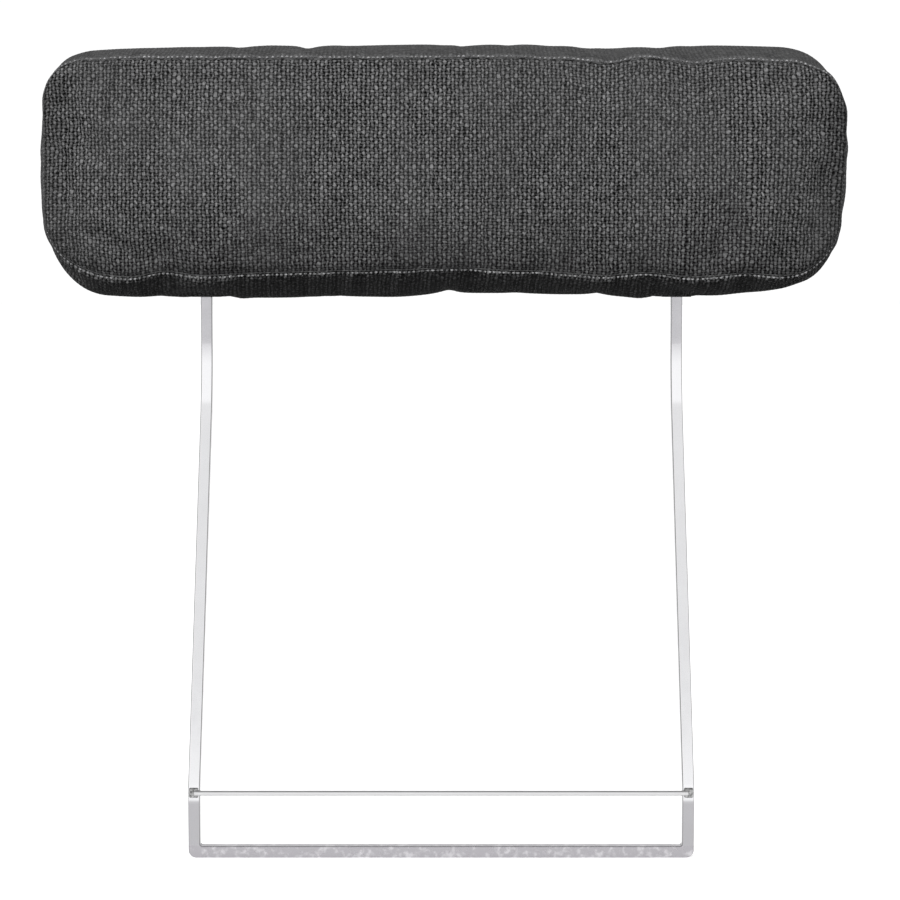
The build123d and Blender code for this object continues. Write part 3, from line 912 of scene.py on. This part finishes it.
def crossings(m, u, v):
    """Whether the warp is on top, how high the top thread stands, and its tone, darkened by painted shade
    where it lies low.

    Threads cross at whole numbers of u and v, where warp and weft are on top by turns.
    """
    wave_u = m.math("COSINE", m.times(u, math.pi))
    wave_v = m.math("COSINE", m.times(v, math.pi))
    turn = m.math("SIGN", m.times(wave_u, wave_v))
    across_warp = m.math("ABSOLUTE", wave_u)
    across_weft = m.math("ABSOLUTE", wave_v)
    warp = m.times(across_warp, m.plus(0.67, m.times(m.times(turn, across_weft), 0.33)))
    weft = m.times(across_weft, m.minus(0.50, m.times(m.times(turn, across_warp), 0.36)))
    warp_on_top = m.math("GREATER_THAN", warp, weft)
    tone = m.mix(warp_on_top, m.ramp(weft, *WEFT_TONES), m.ramp(warp, *WARP_TONES))
    return warp_on_top, m.math("MAXIMUM", warp, weft), tone


def thread_shade(m, raw, u, v, warp_on_top, fibre, facing_down):
    """How bright each place is: it drifts along a thread, and from one crossing to the next."""
    cell_u = m.math("ROUND", u)
    cell_v = m.math("ROUND", v)
    warp_at = m.vector(m.times(cell_u, THREAD_APART), m.times(v, THREAD_LONG))
    weft_at = m.vector(m.times(u, THREAD_LONG), m.times(cell_v, THREAD_APART))
    along_weft = m.flat_noise(weft_at, 1.0, 2.0, 0.6)
    along_warp = m.flat_noise(warp_at, 1.0, 2.0, 0.6)
    shade = m.plus(1.0, m.centred(m.mix(warp_on_top, along_weft, along_warp), 0.9))
    for part in (
        m.centred(fibre, 1.6),
        m.centred(m.white(cell_u, cell_v), 0.35),
        m.centred(m.noise(13.0, 3.0), 0.3),
        m.times(m.centred(m.white(cell_u), 0.9), facing_down),
        m.times(m.centred(m.flat_noise(raw, 0.8, 1.0), 2.6), facing_down),
    ):
        shade = m.plus(shade, part)
    return m.math("MAXIMUM", shade, 0.1)


def seam_shade(m, seam_edge_light):
    """Half of how bright the cloth is painted beside a seam: painted shade near it, painted light or shade
    right at it, and a dark line of painted shade in the seam.
    """
    from_seam = m.times(m.node("Attribute", out="Fac", attribute_name="seam"), 1 / SEAM_SHADE_REACH)
    # painted light or painted shade right beside the seam, then painted shade fading out over the reach
    close = 0.5 * seam_edge_light
    shade = m.ramp(from_seam, (0.0, close), (0.13, close), (0.2, 0.455), (0.6, 0.475), (1.0, 0.5))
    # the dark line is painted shade in the seam's crease; noise breaks it up, and it fades towards the
    # bottom
    line = m.ramp(from_seam, (0.02, 1.0), (0.05, 0.0))
    broken = m.ramp(m.noise(260.0, 1.0), (0.42, 0.15), (0.58, 1.0))
    by_height = m.ramp(m.parts(m.place())[2], (CENTRE_Z - 40 * MM, 0.35), (CENTRE_Z + 40 * MM, 0.85))
    return m.times(shade, m.minus(1.0, m.times(m.times(line, broken), by_height)))


def weave(name, brightness, softness, seam_edge_light, bands, foot_shade):
    """Charcoal plain weave: pale warp floats over darker weft, with dark gaps at the corners that are
    painted shade.

    softness says how far the pattern is rubbed out, at least and at most, seam_edge_light how
    bright the painted light or shade on the cloth right beside the seam is, bands how much rougher
    and brighter it gets where it faces down, and foot_shade how much painted shade darkens it at its foot.
    """
    m = material(name)
    raw = m.node("UVMap", uv_map="cloth")
    u, v = wandering_threads(m, raw)
    warp_on_top, height, tone = crossings(m, u, v)
    fibre = m.flat_noise(raw, 3.0, 3.0, 0.7)
    facing_down = m.ramp(m.times(m.facing()[2], -1.0), (0.3, 0.0), (0.7, bands))
    rubbed = m.ramp(m.noise(24.0, at=m.stretched(1.0, 1.0, 0.4)), (0.40, softness[0]), (0.64, softness[1]))
    tone = m.mix(m.times(rubbed, m.minus(1.0, facing_down)), tone, RUBBED_TONE)
    # painted shade: the cloth is painted darker towards its foot
    above_foot = m.times(m.minus(m.parts(m.place())[2], CENTRE_Z - SEAM_H), 10.0)
    foot = m.ramp(above_foot, (0.0, 1.0 - foot_shade), (0.22, 1.0 - 0.35 * foot_shade), (0.45, 1.0))
    shade = thread_shade(m, raw, u, v, warp_on_top, fibre, facing_down)
    level = m.times(m.times(tone, seam_shade(m, seam_edge_light)), shade)
    level = m.times(level, m.plus(1.0, m.times(facing_down, 0.3)))
    level = m.times(m.times(level, foot), 2 * brightness)
    colour = m.mix(level, 0.0, (0.99, 0.99, 1.0))
    relief = m.plus(height, m.times(fibre, 0.25))
    return m.finish(colour, 0.95, (relief, 0.5, 0.7), specular=0.04, sheen=0.015, sheen_roughness=0.5)


@cache
def panel_weave():
    return weave("charcoal_weave", 1.04, (0.0, 0.22), 0.9, 0.0, 0.26)


@cache
def boxing_weave():
    return weave("charcoal_weave_boxing", 0.88, (0.72, 0.92), 1.3, 1.0, 0.0)


@cache
def thread():
    """Sewing thread: twisted, a little lighter and smoother than the cloth."""
    m = material("thread")
    colour = m.ramp(m.noise(260.0, 1.0), (0.36, (0.07, 0.07, 0.072)), (0.64, (0.30, 0.30, 0.305)))
    twist = {"Scale": 900.0, "Distortion": 1.0, "Vector": m.place()}
    ply = m.node("TexWave", twist, 1, wave_type="BANDS", bands_direction="DIAGONAL")
    return m.finish(colour, 0.6, (ply, 0.06, 0.8), specular=0.35, sheen=0.15)


# Heights in millimetres along the bracket's bar, and its colour there, with painted shade below the rod and
# under the cushion.
SHADED_BELOW_ROD, PLAIN_BAR, SHADED_UNDER_CUSHION = (0.37, 0.365, 0.38), (0.63, 0.63, 0.642), (0.47, 0.465, 0.485)
BAR_COLOURS = ((38.8, SHADED_BELOW_ROD), (40.4, PLAIN_BAR), (338, PLAIN_BAR), (356, SHADED_UNDER_CUSHION))
BAR_REACH = 400
FOOT_TOP = 8.6


@cache
def polished_bar():
    """Polished, plated bar: painted shade below the rod and under the cushion, mottled along the bottom, and
    painted shade on its sides.
    """
    m = material("polished_bar")
    haze = m.noise(55.0, 4.0, 0.6)
    fine = m.noise(900.0)
    z = m.times(m.parts(m.place())[2], 1 / MM)
    foot = m.math("LESS_THAN", z, FOOT_TOP)
    blotch = m.ramp(m.noise(210.0, 3.0, 0.55), (0.50, 0.0), (0.66, 1.0))
    # painted shade: darker below the rod and under the cushion
    by_height = m.ramp(m.times(z, 1 / BAR_REACH), *[(h / BAR_REACH, colour) for h, colour in BAR_COLOURS])
    colour = m.mix(1.0, by_height, m.ramp(haze, (0.0, 0.95), (1.0, 1.05)), "MULTIPLY")
    colour = m.mix(foot, colour, (0.36, 0.35, 0.37))
    colour = m.mix(m.times(foot, blotch), colour, (0.50, 0.49, 0.51))
    # painted shade on the side faces of the bar
    sideways = m.math("ABSOLUTE", m.facing()[0])
    colour = m.mix(m.ramp(sideways, (0.35, 0.0), (0.8, 1.0)), colour, (0.17, 0.17, 0.175))
    roughness = m.plus(m.ramp(haze, (0.3, 0.07), (0.75, 0.15)), m.times(foot, 0.16))
    relief = m.plus(m.times(haze, 0.6), m.times(fine, 0.06))
    return m.finish(colour, roughness, (relief, 0.12, 0.25), metallic=1.0)


@cache
def polished_rod():
    """Drawn rod: plated, with fine lines along it."""
    m = material("polished_rod")
    lines = m.noise(1.0, at=m.stretched(30.0, 2500.0, 2500.0))
    colour = m.mix(lines, (0.52, 0.52, 0.525), (0.60, 0.60, 0.605))
    roughness = m.between(lines, 0.34, 0.44)
    return m.finish(colour, roughness, (lines, 0.02, 0.4), metallic=1.0)


@cache
def weld_metal():
    """Weld beads: plated over, rippled, and darker with painted shade in the creases."""
    m = material("weld_metal")
    ripple = m.ripple(m.parts(m.place())[0], 1.1 * MM)
    scale = m.noise(700.0, 3.0, 0.6)
    # painted shade: the low parts of the relief are darker
    colour = m.ramp(scale, (0.35, 0.12), (0.65, 0.48))
    roughness = m.between(scale, 0.28, 0.5)
    relief = m.plus(m.times(ripple, 0.4), scale)
    return m.finish(colour, roughness, (relief, 0.25, 0.8), metallic=1.0)


@cache
def plywood():
    """Birch plywood: flowing grain on the faces and plies on the edges."""
    m = material("plywood")
    grain = m.noise(1.0, 5.0, 0.6, m.stretched(7.0, 60.0, 95.0))
    face = m.between(grain, (0.56, 0.40, 0.24), (0.78, 0.63, 0.43))
    ply = m.ripple(m.parts(m.place())[1], 2.8 * MM)
    colour = m.mix(m.ramp(ply, (0.35, 0.0), (0.6, 0.35)), face, (0.42, 0.28, 0.16))
    return m.finish(colour, 0.65, (grain, 0.15, 0.5))


@cache
def sleeve_plastic():
    """Black moulded plastic with a fine spark-eroded grain."""
    m = material("sleeve_plastic")
    grain = m.noise(1500.0)
    colour = m.between(m.noise(60.0), 0.02, 0.035)
    return m.finish(colour, m.between(grain, 0.38, 0.5), (grain, 0.05, 0.5))


@cache
def zinc_steel():
    """Zinc-plated steel with faint spangle."""
    m = material("zinc_steel")
    colour = m.mix(m.cells(350.0), (0.52, 0.53, 0.56), (0.70, 0.71, 0.72))
    roughness = m.between(m.noise(240.0), 0.25, 0.42)
    return m.finish(colour, roughness, (m.noise(900.0), 0.03, 0.4), metallic=1.0)


@cache
def foam():
    """Cut upholstery foam with open cells, painted darker inside them as painted shade."""
    m = material("foam")
    walls = m.ramp(m.cells(700.0, "DISTANCE_TO_EDGE"), (0.02, 1.0), (0.2, 0.0))
    # painted shade inside the open cells
    colour = m.mix(walls, (0.66, 0.62, 0.45), (0.90, 0.87, 0.74))
    return m.finish(colour, 0.95, (walls, 0.5, 0.8), sheen=0.1)


@cache
def wadding():
    """Bonded polyester wadding: white, with crossing fibres."""
    m = material("wadding")
    fibres = m.noise(420.0, 6.0, 0.75)
    clumps = m.noise(45.0, 3.0)
    colour = m.mix(m.times(fibres, clumps), (0.74, 0.74, 0.73), (0.93, 0.93, 0.92))
    return m.finish(colour, 0.95, (m.plus(fibres, clumps), 1.2, 0.8), sheen=0.3)


def ribbed(name, low, high, pitch):
    """Tape woven in fine ribs, with painted shade in the grooves between them."""
    m = material(name)
    x, _, z = m.parts(m.place())
    across = m.ripple(x, pitch)
    slant = m.ripple(m.plus(x, z), 2 * pitch)
    rib = m.plus(m.times(across, 0.6), m.times(slant, 0.4))
    # painted shade in the grooves between the ribs
    colour = m.mix(m.ramp(rib, (0.2, 0.0), (0.8, 1.0)), low, high)
    return m.finish(colour, 0.85, (rib, 0.15, 0.7), sheen=0.08)


@cache
def zip_tape():
    return ribbed("zip_tape", (0.016, 0.016, 0.017), (0.05, 0.05, 0.052), 0.7 * MM)


@cache
def binding_tape():
    return ribbed("binding_tape", (0.018, 0.018, 0.019), (0.07, 0.07, 0.072), 0.9 * MM)


@cache
def zip_nylon():
    """Moulded nylon teeth."""
    m = material("zip_nylon")
    colour = m.between(m.noise(350.0), 0.03, 0.055)
    roughness = m.between(m.noise(800.0), 0.28, 0.42)
    return m.finish(colour, roughness, (m.noise(1200.0), 0.02, 0.5))


@cache
def zip_metal():
    """Die-cast slider: gunmetal plating with rubbed edges."""
    m = material("zip_metal")
    edge = m.ramp(m.node("NewGeometry", out="Pointiness"), (0.5, 0.0), (0.62, 1.0))
    cast = m.noise(500.0, 3.0, 0.6)
    body = m.mix(cast, (0.20, 0.20, 0.21), (0.32, 0.32, 0.33))
    roughness = m.between(cast, 0.22, 0.38)
    return m.finish(m.mix(edge, body, 0.58), roughness, (cast, 0.03, 0.5), metallic=1.0)


@cache
def studio_floor():
    """Pale studio floor."""
    m = material("studio_floor")
    colour = m.between(m.noise(3.0, 3.0), 0.90, 0.92)
    return m.finish(colour, 0.9, specular=0.0, emission=0.4, emission_colour=rgba(1.0))


def dress_cad_nodes():
    """Materials for the nodes that stay as they are, by their slot in the record."""
    made_here = (
        polished_bar, polished_rod, weld_metal, plywood, sleeve_plastic, zinc_steel, foam,
        zip_tape, zip_metal, binding_tape,
    )
    looks = {look.__name__: look for look in made_here}
    for part in frame["record"]["subparts"]:
        if part["material_slot"] in looks:
            materials = frame["nodes"][part["node"]].data.materials
            materials.clear()
            materials.append(looks[part["material_slot"]]())


# ---- the zip's teeth ------------------------------------------------------------------
TOOTH_PITCH = 2.0 * MM
TOOTH_HALF = 0.62 * MM


def tooth(x, z, sign, y_low, y_high, reach):
    """One moulded tooth: a waisted block with a rounded nose that points across the gap."""
    side = ((-1.0, 0.0), (-1.0, 0.35), (-0.6, 0.6), (-0.85, 0.8), (-0.5, 1.0))
    profile = [*side, *((-px, pz) for px, pz in reversed(side))]
    layers = ((y_low, 1.0), (y_low + 0.75 * (y_high - y_low), 1.0), (y_high, 0.72))
    points = []
    for y, scale in layers:
        for px, pz in profile:
            across = 0.5 + (pz - 0.5) * (0.6 + 0.4 * scale)
            points.append((x + px * TOOTH_HALF * scale, y, z - sign * reach * across))
    n = len(profile)
    sides = [tuple(reversed(f)) for f in grid_faces(len(layers), n, closed=True)]
    faces = [tuple(range(n)), tuple(reversed(range(2 * n, 3 * n))), *sides]
    if sign < 0:
        faces = [tuple(reversed(f)) for f in faces]
    return points, faces


def build_teeth():
    """Two rows of teeth in the place of the plain rows, with the slider's gap between them."""
    for name, (low, high), sign in (
        ("zip_teeth_lower", (teeth_low, teeth_high), -1),
        ("zip_teeth_upper", (upper_teeth_low, upper_teeth_high), 1),
    ):
        base = low.z if sign < 0 else high.z
        reach = high.z - low.z
        count = int((high.x - low.x) / TOOTH_PITCH)
        start = low.x + (0.5 if sign > 0 else 0.9) * TOOTH_PITCH
        parts = [
            tooth(start + i * TOOTH_PITCH, base, sign, low.y, high.y, reach)
            for i in range(count)
            if start + i * TOOTH_PITCH < high.x - 0.7 * MM
        ]
        piece = join_meshes(name.replace("zip_", "zip_moulded_"), parts)
        dress(piece, zip_nylon)
        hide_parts(name)


# ---- the wadding ----------------------------------------------------------------------
WADDING_INSET = 4.2 * MM
WADDING_T = 4.6 * MM
ZIP_ROOM = 3.0 * MM          # how much further in it lies behind the zip


def build_wadding(shaping):
    """Wadding that lines the shaped cover, front and rear, as closed layers."""
    faces = shaping.faces
    sleeve_half = (sleeve_high.x - sleeve_low.x) / 2 + 2 * MM
    half = np.array((MID_W, DEPTH / 2, MID_H))
    middle = np.array((0, MID_Y, CENTRE_Z))
    # the cover's own shape drawn together, which keeps its edges from folding over
    lining = middle + (shaping.final - middle) * (1 - WADDING_INSET / half)
    lining[:, 1] -= ZIP_ROOM * zip_hold(shaping.plain)
    centres = [lining[list(f)].mean(axis=0) for f in faces]
    for name, front in (("wadding_front", True), ("wadding_rear", False)):
        here = [(c[1] < LEG_Y) == front and not beside_leg(c, sleeve_half) for c in centres]
        used, layer = renumbered([f for f, chosen in zip(faces, here) if chosen])
        piece = new_mesh(name + "_layer", lining[used], layer)
        thick = piece.modifiers.new("thickness", "SOLIDIFY")
        thick.thickness = WADDING_T
        thick.offset = -1
        dress(piece, wadding)
        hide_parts(name)


# ---- studio ---------------------------------------------------------------------------
CAMERA_PLACE = (0.0061, -1.502, 0.3864)
CAMERA_TILT = math.radians(86)          # from straight down
CAMERA_LENS = 88.36                     # millimetres, on a sensor 36 mm wide
FLOOR_HALF = 90.0
LIT = (0, 0.05, 0.45)                   # what the lamps point at

# How bright the studio is by height, from straight down at 0 to straight up at 1.
FRONT_WALL = (
    (0.47, 0.03), (0.499, 1.0), (0.52, 1.45), (0.737, 1.5),
    (0.7435, 1.2), (0.87, 1.2), (0.92, 0.75), (1.0, 0.65),
)
REAR_WALL = ((0.47, 0.03), (0.5, 1.07), (0.8, 0.95), (0.9, 0.3), (1.0, 0.25))
SIDE_CARDS = ((0.86, 1.0), (0.93, 0.22))      # the same by how far to the side


def build_camera():
    data = bpy.data.cameras.new("camera")
    data.sensor_width = 36
    data.lens = CAMERA_LENS
    data.clip_start = 0.05
    camera = bpy.data.objects.new("camera", data)
    camera.location = CAMERA_PLACE
    camera.rotation_euler = (CAMERA_TILT, 0, 0)
    bpy.context.scene.collection.objects.link(camera)
    bpy.context.scene.camera = camera


def build_floor():
    points = [(sx * FLOOR_HALF, sy * FLOOR_HALF, 0) for sx, sy in reversed(TURNS)]
    floor = new_mesh("studio_floor", points, [(0, 1, 2, 3)])
    floor.data.materials.append(studio_floor())
    floor.visible_diffuse = False


def area_light(name, place, size, power):
    """A soft lamp that the bar doesn't mirror."""
    data = bpy.data.lights.new(name, "AREA")
    data.shape = "RECTANGLE"
    data.size, data.size_y = size
    data.energy = power
    lamp = bpy.data.objects.new(name, data)
    lamp.location = place
    lamp.rotation_euler = (Vector(LIT) - Vector(place)).to_track_quat("-Z", "Y").to_euler()
    lamp.visible_glossy = False
    bpy.context.scene.collection.objects.link(lamp)


def build_world():
    """White studio, graded by height: level grey in front, a bright strip over it, white behind."""
    world = bpy.data.worlds.new("studio")
    m = Nodes(world)
    x, y, z = m.parts(m.node("TexCoord", out="Generated"))
    height = m.spread(z, -1.0, 1.0)
    walls = m.mix(m.spread(y, -0.15, 0.15), m.ramp(height, *FRONT_WALL), m.ramp(height, *REAR_WALL))
    # dark cards at both sides draw the thin dark edges of the bar
    cards = m.ramp(m.math("ABSOLUTE", x), *SIDE_CARDS)
    m.put(m.mix(1.0, walls, cards, "MULTIPLY"), m.tree.nodes["Background"].inputs["Color"])
    bpy.context.scene.world = world


def build_studio():
    build_camera()
    build_floor()
    build_world()
    area_light("key", (-0.9, -1.5, 1.5), (0.9, 0.6), 5)
    area_light("fill", (-0.6, -2.9, 1.3), (1.6, 1.0), 62)
    bpy.context.scene.view_settings.view_transform = "Standard"


# ---- all ------------------------------------------------------------------------------
def build():
    build_studio()
    shaping = Shaping()
    build_cover(shaping)
    rng = np.random.default_rng(SEED + 1)
    row = seam_stitching("front_seam_stitches", shaping, STITCH_FROM_SEAM, rng)
    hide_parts("topstitching_front")
    row = seam_stitching("back_seam_stitches", shaping, DEPTH - STITCH_FROM_SEAM, rng)
    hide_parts("topstitching_back")
    zip_stitching("zip_stitches_upper", shaping, 1, rng)
    zip_stitching("zip_stitches_lower", shaping, -1, rng)
    build_teeth()
    build_wadding(shaping)
    dress_cad_nodes()


build()
